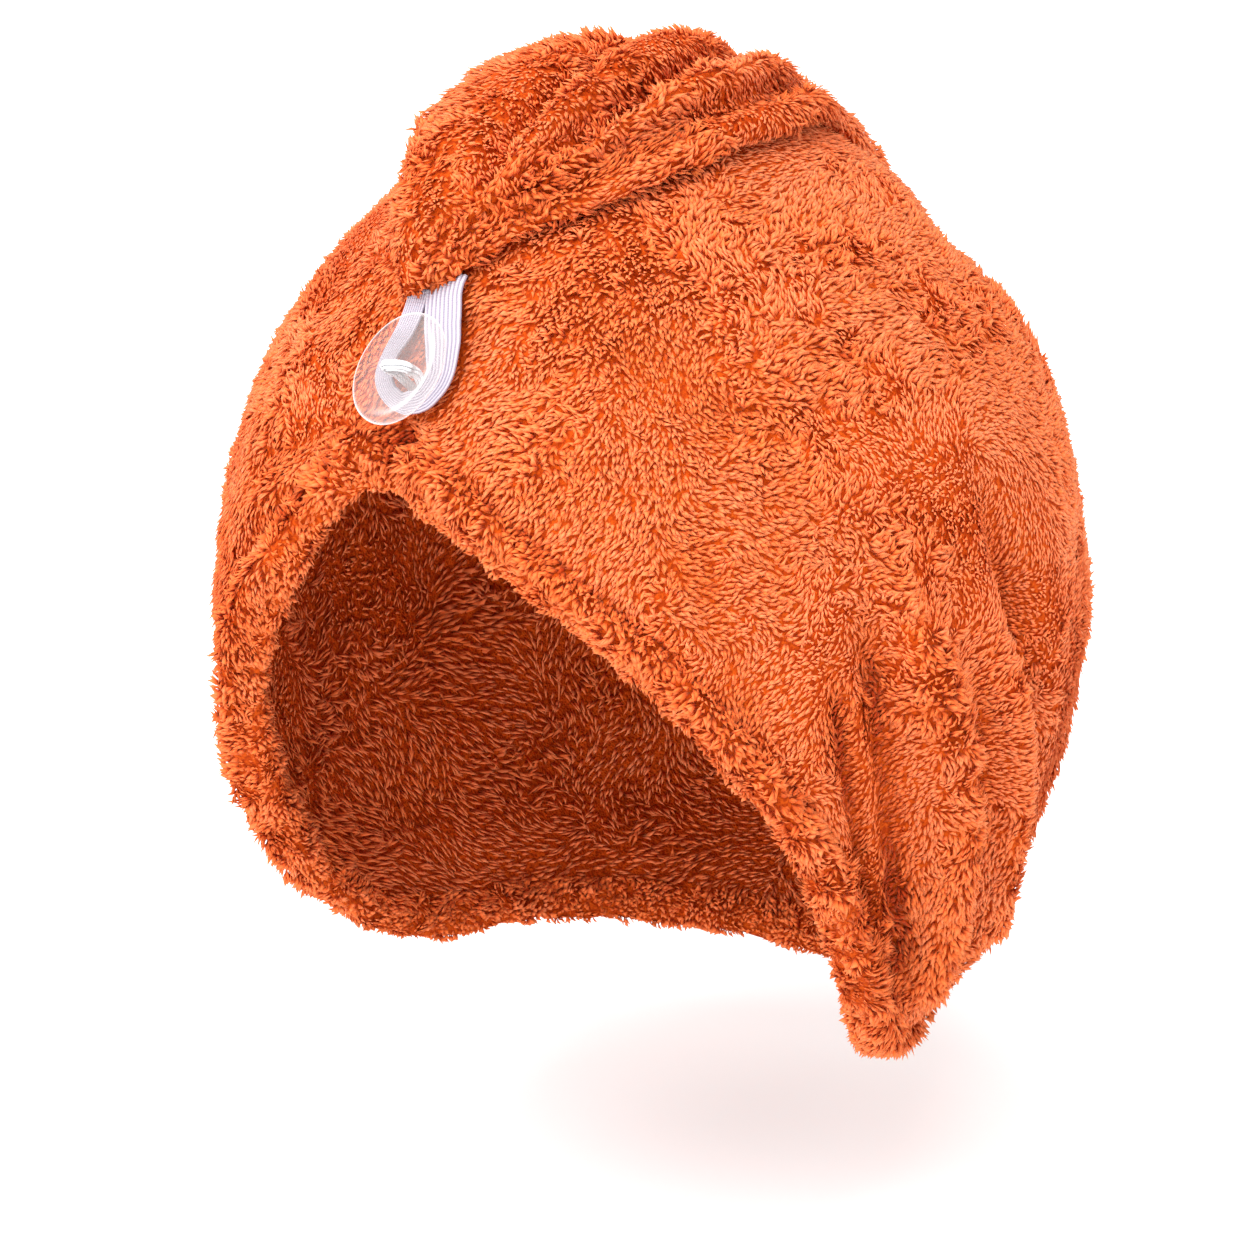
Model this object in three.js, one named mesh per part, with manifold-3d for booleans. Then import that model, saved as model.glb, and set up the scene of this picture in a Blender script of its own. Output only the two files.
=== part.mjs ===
// A worn hair towel: a deep-pile terry turban that closes with an elastic loop over a clear button.
// Millimetres, +Z up, the face opening towards -Y, the wearer's left towards +X.
// The origin is the inside of the crown, where the towel sits on the head.
import * as THREE from "three";
import { mergeVertices } from "three/addons/utils/BufferGeometryUtils.js";
import Module from "manifold-3d";

const wasm = await Module();
wasm.setup();

// Driving dimensions: the hood's outer form, measured from the middle of the head
const HALF_WIDTH = 93;
const FRONT_REACH = 96;
const BACK_REACH = 102;
const CROWN_HEIGHT = 112;
const NAPE_DROP = 126;
const WALL = 7;
const CREASE_WALL = 3.5;
// Pieces that touch keep this clear of each other
const GAP = 0.3;

// The hem turns in towards the head over its last stretch
const HEM_TURN_IN = 3.5;
const HEM_BAND = 16;

// How finely the cloth is meshed: columns from one azimuth to the next, crowded where the folds are
const COLUMN_SPANS = [
  { from: -180, to: -130, columns: 7 },
  { from: -130, to: -80, columns: 10 },
  { from: -80, to: -30, columns: 9 },
  { from: -30, to: 15, columns: 14 },
  { from: 15, to: 60, columns: 8 },
  { from: 60, to: 116, columns: 26 },
  { from: 116, to: 150, columns: 7 },
  { from: 150, to: 180, columns: 5 },
];
const OUTER_ROWS = 24;
const INNER_ROWS = 9;
const HEM_ROWS = 3;

const MEAN_RADIUS = 105;

// The hem, going round the head: azimuth from the face, and polar angle from the crown, in degrees
const HEM = [
  { azimuth: -180, polar: 152 },
  { azimuth: -130, polar: 151 },
  { azimuth: -105, polar: 150 },
  { azimuth: -85, polar: 149 },
  { azimuth: -68, polar: 145 },
  { azimuth: -55, polar: 138 },
  { azimuth: -45, polar: 127 },
  { azimuth: -37, polar: 113 },
  { azimuth: -30, polar: 98 },
  { azimuth: -22, polar: 85 },
  { azimuth: -14, polar: 73 },
  { azimuth: -8, polar: 65 },
  { azimuth: -3, polar: 61 },
  { azimuth: 4, polar: 62 },
  { azimuth: 14, polar: 66 },
  { azimuth: 29, polar: 75 },
  { azimuth: 42, polar: 85 },
  { azimuth: 52, polar: 97 },
  { azimuth: 61, polar: 110 },
  { azimuth: 69, polar: 125 },
  { azimuth: 78, polar: 138 },
  { azimuth: 88, polar: 146 },
  { azimuth: 102, polar: 150 },
  { azimuth: 130, polar: 151 },
  { azimuth: 180, polar: 152 },
];

// Folds of the hood: how far each stands out, how wide it is, and its line through [azimuth, polar]
// points. A fold rises from nothing at the start of its line over the share FOLD_FADE of it.
const FOLD_FADE = 0.4;
const FOLDS = [
  { name: "dent under the button", height: -2.5, width: 13, line: [[3, 34], [3, 42], [3, 50]] },
  { name: "centre seam", height: -4, width: 5, line: [[2, 48], [1, 57], [0, 66]] },
  { name: "swell left of the seam", height: 2, width: 8, line: [[8, 48], [9, 56], [10, 66]] },
  { name: "swell right of the seam", height: 2, width: 7, line: [[-6, 48], [-7, 55], [-8, 64]] },
  { name: "temple crease", height: -3, width: 6, line: [[-34, 70], [-22, 62], [-14, 57], [-5, 54]] },
  { name: "lower temple crease", height: -3, width: 6, line: [[-34, 84], [-26, 76], [-17, 69], [-8, 61]] },
  { name: "forehead dent", height: -2, width: 12, line: [[30, 36], [45, 44], [56, 50]] },
  { name: "cheek crease", height: -2, width: 7, line: [[44, 56], [50, 70], [54, 84]] },
  { name: "foremost pleat valley", height: -3, width: 5, line: [[66, 76], [69, 94], [76, 118]] },
  { name: "second pleat valley", height: -4.5, width: 5, line: [[70, 68], [74, 90], [84, 128]] },
  { name: "main pleat", height: 4, width: 7, line: [[72, 60], [77, 76], [83, 90], [88, 108], [92, 130]] },
  { name: "hindmost pleat valley", height: -3, width: 5, line: [[87, 82], [93, 104], [99, 134]] },
  { name: "deep crease", height: -7.5, width: 5.5, line: [[95, 58], [101, 78], [107, 98], [113, 112]] },
  { name: "lip of the deep crease", height: 3, width: 6, line: [[92, 76], [99, 100], [107, 128]] },
  { name: "tuck under the tail", height: -4, width: 12, line: [[124, 34], [146, 43], [168, 46]] },
  { name: "left outer nape gather", height: -4, width: 8, line: [[128, 92], [124, 114], [116, 145]] },
  { name: "left inner nape gather", height: -3, width: 8, line: [[146, 96], [142, 120], [136, 145]] },
  { name: "right inner nape gather", height: -3, width: 8, line: [[-149, 96], [-144, 120], [-138, 145]] },
  { name: "right outer nape gather", height: -4, width: 9, line: [[-122, 90], [-120, 116], [-116, 145]] },
  { name: "right pleat valley", height: -3.5, width: 11, line: [[-86, 62], [-92, 96], [-100, 140]] },
  { name: "right pleat", height: 2.5, width: 11, line: [[-73, 66], [-78, 96], [-84, 130]] },
  { name: "right cheek crease", height: -2.5, width: 11, line: [[-56, 66], [-61, 90], [-68, 112]] },
];

// The tail, from the nape up the back and over the crown to its tip at the forehead. A row is a section.
// turn: degrees back from the crown. left to right: where each of its four ridges starts and ends, in mm
// to the wearer's left of the middle. rise: how far it stands above the hood. slant: degrees of turn that
// the section gains for each mm to the wearer's left.
const TAIL = [
  { turn: 150, left: -34, first: -16, second: 0, third: 16, right: 34, rise: 2, slant: 0 },
  { turn: 144, left: -38, first: -18, second: 0, third: 18, right: 38, rise: 11, slant: 0 },
  { turn: 130, left: -40, first: -20, second: -2, third: 16, right: 36, rise: 17, slant: 0 },
  { turn: 110, left: -40, first: -22, second: -5, third: 11, right: 27, rise: 18, slant: 0 },
  { turn: 85, left: -42, first: -25, second: -10, third: 3, right: 16, rise: 17, slant: 0 },
  { turn: 60, left: -46, first: -30, second: -16, third: -5, right: 7, rise: 15, slant: 0 },
  { turn: 42, left: -48, first: -30, second: -16, third: -5, right: 5, rise: 13, slant: 0 },
  { turn: 28, left: -47, first: -26, second: -11, third: 2, right: 12, rise: 11, slant: 0 },
  { turn: 18, left: -45, first: -20, second: -4, third: 10, right: 20, rise: 11, slant: 0 },
  { turn: 9, left: -43, first: -14, second: 4, third: 19, right: 28, rise: 12, slant: 0 },
  { turn: 0, left: -41, first: -9, second: 9, third: 22, right: 30, rise: 12.5, slant: 0 },
  { turn: -10, left: -38, first: -3, second: 12, third: 22, right: 29, rise: 12.5, slant: 0 },
  { turn: -19, left: -32, first: 0, second: 12, third: 19, right: 26, rise: 13, slant: 0.02 },
  { turn: -24, left: -26, first: 2, second: 11, third: 17, right: 22.5, rise: 12.5, slant: 0.08 },
  { turn: -28.5, left: -19.5, first: 3, second: 10, third: 14.5, right: 18.5, rise: 11.5, slant: 0.18 },
  { turn: -33.2, left: -12, first: 1.5, second: 6.5, third: 10, right: 13, rise: 10.5, slant: 0.3 },
  { turn: -36, left: -9, first: 0, second: 4, third: 7, right: 9.5, rise: 8.5, slant: 0.34 },
  { turn: -37.3, left: -7.5, first: -0.5, second: 3, third: 5, right: 7.5, rise: 5.5, slant: 0.34 },
  { turn: -37.9, left: -5, first: 0, second: 2, third: 3.5, right: 5, rise: 1.5, slant: 0.34 },
];
const TAIL_EDGES = ["left", "first", "second", "third", "right"];
const RIDGE_SHARE = [1, 1.05, 0.95, 0.75];
const RIDGE_STEPS = [0, 0.07, 0.25, 0.5, 0.75, 0.93];
const VALLEY_SHARE = 0.5;
const TAIL_EDGE_ROUND = 9;
const TAIL_SINK = 3;
const TAIL_STATIONS = 36;
const TAIL_CROWDING = 1.6;
const TAIL_BED_STEPS = 6;

// The elastic band, from under the tail's tip down round the button's thread and back. It lies flat beside
// the button and stands on its edge where the thread holds it.
const BAND_THICKNESS = 1.3;
const BAND_FLAT_SHARE = 0.9;
const BAND_STEPS = 30;
const BAND = [
  { turn: -30, across: 0.5, width: 9, roll: 0 },
  { turn: -34, across: 0.8, width: 9, roll: 0 },
  { turn: -37.5, across: 1.6, width: 9, roll: 0 },
  { turn: -40.5, across: 4.2, width: 9, roll: 0 },
  { turn: -43.4, across: 7.6, width: 8, roll: 6 },
  { turn: -46.4, across: 10.2, width: 6, roll: 18 },
  { turn: -49.2, across: 9.2, width: 5.2, roll: 22 },
  { turn: -50.4, across: 4.4, width: 4.8, roll: 20 },
  { turn: -50, across: -0.8, width: 4.8, roll: 16 },
  { turn: -48.2, across: -4.2, width: 4.4, roll: 8 },
  { turn: -45.4, across: -4.7, width: 4, roll: 4 },
  { turn: -42.6, across: -4.1, width: 4.6, roll: 0 },
  { turn: -39.5, across: -5, width: 4.6, roll: 0 },
  { turn: -36, across: -6.8, width: 4.6, roll: 0 },
  { turn: -32, across: -7.2, width: 4.6, roll: 0 },
];

// The button and its thread
const BUTTON = { radius: 12.4, thickness: 3, rim: 2.6, dish: 0.7, holeRadius: 1.25, holeSpacing: 6.4 };
const BUTTON_SIDES = 36;
const HOLE_SIDES = 16;
const BUTTON_SEAT = { turn: -47.7, across: 3.2, lift: 6.2 };
const BUTTON_FACING = new THREE.Vector3(-0.17, -0.79, 0.59).normalize();
const BUTTON_HOLE_LINE = new THREE.Vector3(0.98, -0.1, 0.18);
const THREAD = { radius: 0.95, underButton: 0.6, overHole: 0.5, crest: 1.5, crestShare: 0.45 };
const THREAD_FEET = { turn: -48, across: 3, spacing: 3.2, depth: 1 };
const THREAD_STEPS = 20;
const THREAD_ARC_STEPS = 4;

const radians = THREE.MathUtils.degToRad;

function heading(azimuth, polar) {
  const a = radians(azimuth);
  const p = radians(polar);
  return new THREE.Vector3(Math.sin(p) * Math.sin(a), -Math.sin(p) * Math.cos(a), Math.cos(p));
}

// One column of a table at a place between its rows, on a smooth curve through them
function readColumn(rows, place, at, column) {
  const rising = rows[rows.length - 1][place] > rows[0][place];
  const passed = (row) => (rising ? row[place] > at : row[place] < at);
  const after = rows.findIndex(passed);
  const end = THREE.MathUtils.clamp(after < 0 ? rows.length - 1 : after, 1, rows.length - 1);
  const slope = (i) => {
    const low = rows[Math.max(i - 1, 0)];
    const high = rows[Math.min(i + 1, rows.length - 1)];
    return (high[column] - low[column]) / (high[place] - low[place]);
  };
  const from = rows[end - 1];
  const to = rows[end];
  const span = to[place] - from[place];
  const t = THREE.MathUtils.clamp((at - from[place]) / span, 0, 1);
  const bend = t * t * (3 - 2 * t);
  const lead = t * (1 - t) ** 2 * slope(end - 1) * span;
  const trail = t * t * (t - 1) * slope(end) * span;
  return from[column] + (to[column] - from[column]) * bend + lead + trail;
}

// Where a direction lies by a fold's line: mm away from it along the hood, and how far down it, 0 to 1
function placeByLine(direction, headings) {
  let place = { away: Infinity, along: 0 };
  for (let i = 1; i < headings.length; i++) {
    const start = headings[i - 1];
    const step = new THREE.Vector3().subVectors(headings[i], start);
    const t = THREE.MathUtils.clamp(
      new THREE.Vector3().subVectors(direction, start).dot(step) / step.lengthSq(), 0, 1);
    const foot = start.clone().addScaledVector(step, t).normalize();
    const away = MEAN_RADIUS * direction.angleTo(foot);
    if (away < place.away) place = { away, along: (i - 1 + t) / (headings.length - 1) };
  }
  return place;
}

const foldLines = FOLDS.map((fold) => fold.line.map(([azimuth, polar]) => heading(azimuth, polar)));

function foldHeight(direction) {
  return FOLDS.reduce((sum, fold, i) => {
    const { away, along } = placeByLine(direction, foldLines[i]);
    const fade = THREE.MathUtils.smoothstep(along, 0, FOLD_FADE);
    return sum + fold.height * fade * Math.exp(-((away / fold.width) ** 2));
  }, 0);
}

function headRadius(direction) {
  const depth = direction.y < 0 ? FRONT_REACH : BACK_REACH;
  const height = direction.z > 0 ? CROWN_HEIGHT : NAPE_DROP;
  return 1 / Math.hypot(direction.x / HALF_WIDTH, direction.y / depth, direction.z / height);
}

function hoodRadius(direction) {
  return headRadius(direction) + foldHeight(direction);
}

// The inside lies smooth on the head and gives way only behind a deep crease
function insideRadius(direction) {
  const leftOver = foldHeight(direction) + WALL - CREASE_WALL;
  return headRadius(direction) - WALL + Math.min(0, leftOver);
}

// A closed surface through rings of points, each ring closed on itself, with a point at either end
function closeRings(rings, first, last) {
  const count = rings[0].length;
  const points = [first, ...rings.flat(), last];
  const at = (i, j) => 1 + i * count + (j % count);
  const faces = [];
  for (let j = 0; j < count; j++) {
    faces.push(0, at(0, j), at(0, j + 1));
    faces.push(at(rings.length - 1, j), points.length - 1, at(rings.length - 1, j + 1));
    for (let i = 0; i < rings.length - 1; i++) {
      faces.push(at(i, j), at(i + 1, j), at(i + 1, j + 1));
      faces.push(at(i, j), at(i + 1, j + 1), at(i, j + 1));
    }
  }
  const geometry = new THREE.BufferGeometry().setFromPoints(points);
  geometry.setIndex(faces);
  geometry.computeVertexNormals();
  return geometry;
}

function middleOf(points) {
  return points.reduce((sum, p) => sum.add(p), new THREE.Vector3()).divideScalar(points.length);
}

// Joins and cuts are made on manifold solids
function solidOf(geometry) {
  const bare = geometry.clone();
  bare.deleteAttribute("normal");
  bare.deleteAttribute("uv");
  const merged = mergeVertices(bare);
  return new wasm.Manifold(new wasm.Mesh({
    numProp: 3,
    vertProperties: merged.attributes.position.array,
    triVerts: new Uint32Array(merged.index.array),
  }));
}

function geometryOf(solid) {
  const mesh = solid.getMesh();
  const geometry = new THREE.BufferGeometry();
  geometry.setAttribute("position", new THREE.BufferAttribute(new Float32Array(mesh.vertProperties), 3));
  geometry.setIndex(new THREE.BufferAttribute(new Uint32Array(mesh.triVerts), 1));
  geometry.computeVertexNormals();
  return geometry;
}

// The hood: one wall, from the crown down the outside, round the hem and back up the inside
function hoodGeometry(grow) {
  const columns = COLUMN_SPANS.flatMap(({ from, to, columns: count }) =>
    Array.from({ length: count }, (_, j) => from + ((to - from) * j) / count));
  const hemAt = columns.map((azimuth) => readColumn(HEM, "azimuth", azimuth, "polar"));
  // depth runs from 0 on the outer face to 1 on the inner face
  const place = (direction, turnIn, depth) => direction.multiplyScalar(
    THREE.MathUtils.lerp(hoodRadius(direction) + grow, insideRadius(direction), depth) - turnIn);
  const point = (j, share, depth) => {
    const toHem = (1 - share) * radians(hemAt[j]) * MEAN_RADIUS;
    const turnIn = HEM_TURN_IN * Math.max(0, 1 - toHem / HEM_BAND) ** 2;
    return place(heading(columns[j], hemAt[j] * share), turnIn, depth);
  };
  const ring = (share, depth) => columns.map((_, j) => point(j, share, depth));
  const rings = [];
  for (let i = 1; i <= OUTER_ROWS; i++) rings.push(ring(i / OUTER_ROWS, 0));
  for (let i = 1; i <= HEM_ROWS; i++) {
    // a half round edge, bulging past the last row
    const round = (Math.PI * i) / (HEM_ROWS + 1);
    const bulge = (Math.sin(round) * WALL) / 2;
    rings.push(columns.map((_, j) => {
      const past = 1 + bulge / (radians(hemAt[j]) * MEAN_RADIUS);
      return place(heading(columns[j], hemAt[j] * past), HEM_TURN_IN, (1 - Math.cos(round)) / 2);
    }));
  }
  for (let i = INNER_ROWS; i >= 1; i--) rings.push(ring(i / INNER_ROWS, 1));
  return closeRings(rings, point(0, 0, 0), point(0, 0, 1));
}

// A point on or over the hood: degrees back from the crown, mm to the wearer's left, and mm above the cloth
function onHood(turn, across, lift) {
  const back = radians(turn);
  const aside = across / MEAN_RADIUS;
  const direction = new THREE.Vector3(
    Math.sin(aside), Math.sin(back) * Math.cos(aside), Math.cos(back) * Math.cos(aside));
  return direction.multiplyScalar(hoodRadius(direction) + lift);
}

function hoodNormal(turn, across) {
  const step = 0.5;
  const alongTurn = onHood(turn + step, across, 0).sub(onHood(turn - step, across, 0));
  const alongAcross = onHood(turn, across + step, 0).sub(onHood(turn, across - step, 0));
  return alongAcross.cross(alongTurn).normalize();
}

// How far the tail stands above the hood at a place across one of its sections
function tailHeight(edges, rise, ridge, share) {
  const across = THREE.MathUtils.lerp(edges[ridge], edges[ridge + 1], share);
  const inward = Math.min(across - edges[0], edges[edges.length - 1] - across) / TAIL_EDGE_ROUND;
  const side = Math.sqrt(1 - (1 - Math.min(inward, 1)) ** 2);
  const arch = Math.sqrt(1 - (2 * share - 1) ** 2);
  return rise * side * (VALLEY_SHARE + (RIDGE_SHARE[ridge] - VALLEY_SHARE) * arch);
}

function tailGeometry(grow) {
  const rings = [];
  const nape = TAIL[0].turn;
  const tip = TAIL[TAIL.length - 1].turn;
  for (let i = 0; i < TAIL_STATIONS; i++) {
    const left = (TAIL_STATIONS - 1 - i) / (TAIL_STATIONS - 1);
    const turn = tip + (nape - tip) * left ** TAIL_CROWDING;
    const edges = TAIL_EDGES.map((edge) => readColumn(TAIL, "turn", turn, edge));
    const rise = readColumn(TAIL, "turn", turn, "rise");
    const slant = readColumn(TAIL, "turn", turn, "slant");
    const place = (across, lift) => onHood(turn + slant * across, across, lift);
    const ring = [];
    for (let ridge = 0; ridge < RIDGE_SHARE.length; ridge++) {
      for (const share of RIDGE_STEPS) {
        const across = THREE.MathUtils.lerp(edges[ridge], edges[ridge + 1], share);
        ring.push(place(across, tailHeight(edges, rise, ridge, share) + grow));
      }
    }
    ring.push(place(edges[edges.length - 1], grow));
    for (let k = 0; k <= TAIL_BED_STEPS; k++) {
      const across = THREE.MathUtils.lerp(edges[edges.length - 1], edges[0], k / TAIL_BED_STEPS);
      ring.push(place(across, -TAIL_SINK));
    }
    rings.push(ring);
  }
  return closeRings(rings, middleOf(rings[0]), middleOf(rings[rings.length - 1]));
}

// The band is a flat strip that keeps to the hood, swept along a curve through its rows
function bandGeometry() {
  const half = BAND_THICKNESS / 2;
  const flat = BAND_FLAT_SHARE;
  const section = [[-1, 0], [-flat, 1], [0, 1], [flat, 1], [1, 0], [flat, -1], [0, -1], [-flat, -1]];
  // the outer edge of a rolled stretch stays down on the hood
  const lift = ({ width, roll }) => GAP + half + (Math.sin(radians(roll)) * width) / 2;
  const path = new THREE.CatmullRomCurve3(
    BAND.map((row) => onHood(row.turn, row.across, lift(row))), false, "centripetal");
  const numbered = BAND.map((row, index) => ({ ...row, index }));
  const rings = [];
  for (let i = 0; i <= BAND_STEPS; i++) {
    const share = i / BAND_STEPS;
    const at = share * (BAND.length - 1);
    const middle = path.getPoint(share);
    const along = path.getTangent(share);
    const read = (column) => readColumn(numbered, "index", at, column);
    const up = hoodNormal(read("turn"), read("across"));
    const roll = radians(read("roll"));
    const wide = new THREE.Vector3().crossVectors(up, along).normalize().applyAxisAngle(along, -roll);
    const thick = new THREE.Vector3().crossVectors(along, wide).normalize();
    const width = read("width") / 2;
    rings.push(section.map(([w, t]) => middle.clone()
      .addScaledVector(wide, w * width)
      .addScaledVector(thick, t * half)));
  }
  return closeRings(rings, middleOf(rings[0]), middleOf(rings[rings.length - 1]));
}

// A turned disc with a raised rim round a dished face and two holes, lying in the XY plane with its face up.
// The profile runs from the middle of the back round the rim to the middle of the face.
function buttonGeometry() {
  const { radius, thickness, rim, dish, holeRadius, holeSpacing } = BUTTON;
  const half = thickness / 2;
  const profile = [
    [0, -half], [radius * 0.72, -half], [radius - 0.9, -half * 0.75], [radius - 0.15, -half * 0.3],
    [radius, half * 0.25], [radius - 0.25, half * 0.8], [radius - 0.9, half],
    [radius - rim * 0.6, half * 0.97], [radius - rim, half - dish * 0.6],
    [radius - rim - 1, half - dish], [0, half - dish],
  ].map(([x, y]) => new THREE.Vector2(x, y));
  const disc = new THREE.LatheGeometry(profile, BUTTON_SIDES).rotateX(Math.PI / 2);
  let button = solidOf(disc);
  for (const side of [-1, 1]) {
    const hole = new THREE.CylinderGeometry(holeRadius, holeRadius, thickness * 2, HOLE_SIDES)
      .rotateX(Math.PI / 2)
      .translate((side * holeSpacing) / 2, 0, 0);
    button = button.subtract(solidOf(hole));
  }
  return geometryOf(button);
}

// The thread comes up from the seam, through one hole, over the button and down through the other
function threadGeometry(button) {
  const inButton = (x, z) => new THREE.Vector3(x, 0, z).applyMatrix4(button.matrix);
  const near = BUTTON.holeSpacing / 2;
  const face = BUTTON.thickness / 2 - BUTTON.dish;
  const foot = (side) => onHood(
    THREAD_FEET.turn, THREAD_FEET.across + (side * THREAD_FEET.spacing) / 2, -THREAD_FEET.depth);
  const leg = (side) => [
    foot(side),
    inButton(side * near, -BUTTON.thickness / 2 - THREAD.underButton),
    inButton(side * near, 0),
    inButton(side * near, face + THREAD.overHole),
  ];
  const crest = [-1, 1].map((side) => inButton(side * near * THREAD.crestShare, face + THREAD.crest));
  const places = [...leg(-1), ...crest, ...leg(1).reverse()];
  const path = new THREE.CatmullRomCurve3(places, false, "centripetal");
  const outline = new THREE.Shape();
  outline.absarc(0, 0, THREAD.radius, 0, Math.PI * 2);
  return new THREE.ExtrudeGeometry(outline, {
    steps: THREAD_STEPS,
    curveSegments: THREAD_ARC_STEPS,
    extrudePath: path,
  });
}

const terry = new THREE.MeshStandardMaterial({ color: 0xe8733a, roughness: 0.95, metalness: 0 });
const elastic = new THREE.MeshStandardMaterial({ color: 0xf2f0f2, roughness: 0.8, metalness: 0 });
const clearPlastic = new THREE.MeshStandardMaterial({
  color: 0xf4ecea, roughness: 0.1, metalness: 0, transparent: true, opacity: 0.35,
});
const cotton = new THREE.MeshStandardMaterial({ color: 0xfafafa, roughness: 0.85, metalness: 0 });

function piece(name, geometry, material) {
  const mesh = new THREE.Mesh(geometry, material);
  mesh.name = name;
  return mesh;
}

// The tail, the band and the feet of the thread lie on the hood, and the band runs in under the tail
const aroundHood = solidOf(hoodGeometry(GAP));
const aroundTail = solidOf(tailGeometry(GAP));
const hood = piece("hood", hoodGeometry(0), terry);
const tail = piece("tail", geometryOf(solidOf(tailGeometry(0)).subtract(aroundHood)), terry);
const band = solidOf(bandGeometry()).subtract(aroundTail).subtract(aroundHood);
const loop = piece("loop", geometryOf(band), elastic);

const button = piece("button", buttonGeometry(), clearPlastic);
button.position.copy(onHood(BUTTON_SEAT.turn, BUTTON_SEAT.across, BUTTON_SEAT.lift));
const holeLine = BUTTON_HOLE_LINE.clone().projectOnPlane(BUTTON_FACING).normalize();
button.quaternion.setFromRotationMatrix(new THREE.Matrix4().makeBasis(
  holeLine, new THREE.Vector3().crossVectors(BUTTON_FACING, holeLine), BUTTON_FACING));
button.updateMatrix();

const bundle = solidOf(threadGeometry(button)).subtract(aroundHood);
const thread = piece("button_thread", geometryOf(bundle), cotton);

const towel = new THREE.Group();
towel.add(hood, tail, loop, button, thread);
towel.position.z = -(CROWN_HEIGHT - WALL);

export default towel;
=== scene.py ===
import math

import bpy
import numpy as np
from mathutils import Matrix, Vector
from mathutils.bvhtree import BVHTree


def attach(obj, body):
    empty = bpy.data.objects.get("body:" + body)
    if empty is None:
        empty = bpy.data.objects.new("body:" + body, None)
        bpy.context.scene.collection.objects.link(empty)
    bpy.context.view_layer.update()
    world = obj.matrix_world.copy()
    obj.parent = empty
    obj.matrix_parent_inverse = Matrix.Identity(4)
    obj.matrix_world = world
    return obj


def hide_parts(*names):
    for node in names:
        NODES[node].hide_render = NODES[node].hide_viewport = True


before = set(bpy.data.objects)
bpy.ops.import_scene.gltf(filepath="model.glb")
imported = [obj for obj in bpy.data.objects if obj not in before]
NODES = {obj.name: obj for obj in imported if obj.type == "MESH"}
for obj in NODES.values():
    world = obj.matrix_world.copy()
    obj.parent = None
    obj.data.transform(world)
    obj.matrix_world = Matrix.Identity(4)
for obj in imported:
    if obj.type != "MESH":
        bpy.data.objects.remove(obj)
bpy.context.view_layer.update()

MM = 0.001

# The hood's centre and mean radius, the floor's height and half its width, in metres
HOOD_CENTRE = np.array((0.0, 0.0, -0.105))
MEAN_RADIUS = 0.105
FLOOR_HEIGHT = -0.245
FLOOR_HALF = 6.0

# Camera, fitted to the photo
VIEW_TURN = math.radians(42)
VIEW_RISE = math.radians(20)
VIEW_TARGET = Vector((-0.0019, -0.0043, -0.1103))
VIEW_DISTANCE = 1.122
LENS = 148.2
SENSOR = 36

# Light: name, direction in camera right, up and back, spread in degrees, strength
LIGHTS = (
    ("key", (-0.2, 0.8, 0.75), 50, 2.75),
    ("fill", (-0.8, 0.3, 0.5), 60, 1.4),
)
STUDIO_STRENGTH = 1.12

# Ground cloth under the pile
HOOD_VOXEL = 2.5 * MM
TAIL_VOXEL = 2.0 * MM
SMOOTHING = 2
PILE_HEIGHT = 1.5 * MM
LINING_PILE_HEIGHT = 0.4 * MM

# The soft lumps of a towel: height in mm, size in mm, seed
LUMPS = ((0.45, 19, 5), (0.3, 8, 6))

# The hem's roll: how wide it is and how far it puffs up, and the pieces that its line is read in
HEM_WIDTH = 11 * MM
HEM_PUFF = 1.8 * MM
HEM_STOPS = 90

# The valley that the hem's seam pulls in above the roll, and how much painted shade darkens its pile
HEM_VALLEY = 12 * MM
HEM_VALLEY_WIDTH = 2.5 * MM
HEM_CUT = 1.6 * MM
HEM_VALLEY_SHADE = 0.5

# Up to this far above the rim, creases fade out and the inner face has the outer pile
RIM = 5 * MM

# How far the rim is drawn in under its pile, and the share of that in the middle and at least. The share
# grows by 1 over HEM_DRAW_EASE to the wearer's left.
HEM_DRAW = 4.4 * MM
HEM_DRAW_MIDDLE = 0.7
HEM_DRAW_LEAST = 0.2
HEM_DRAW_EASE = 60 * MM

# How much deeper and higher than the CAD's the folds are under the pile
CREASE_CUT = 2.6 * MM
RIDGE_LIFT = 0.6
TAIL_CUT = 4.2 * MM
TAIL_PUFF = 1.0 * MM

# The tail's creases: their most width in mm, else their share of the way between the outer valleys, and
# how much painted shade darkens their pile
TAIL_CREASE_WIDTH = 3.0
TAIL_CREASE_SHARE = 0.15
TAIL_CREASE_SHADE = 0.45

# The hem, as the CAD has it: degrees round from the front to the wearer's left, and degrees down from
# the crown
HEM = (
    (-180, 152), (-130, 151), (-105, 150), (-85, 149), (-68, 145), (-55, 138), (-45, 127), (-37, 113),
    (-30, 98), (-22, 85), (-14, 73), (-8, 65), (-3, 61), (4, 62), (14, 66), (29, 75), (42, 85), (52, 97),
    (61, 110), (69, 125), (78, 138), (88, 146), (102, 150), (130, 151), (180, 152),
)

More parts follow.
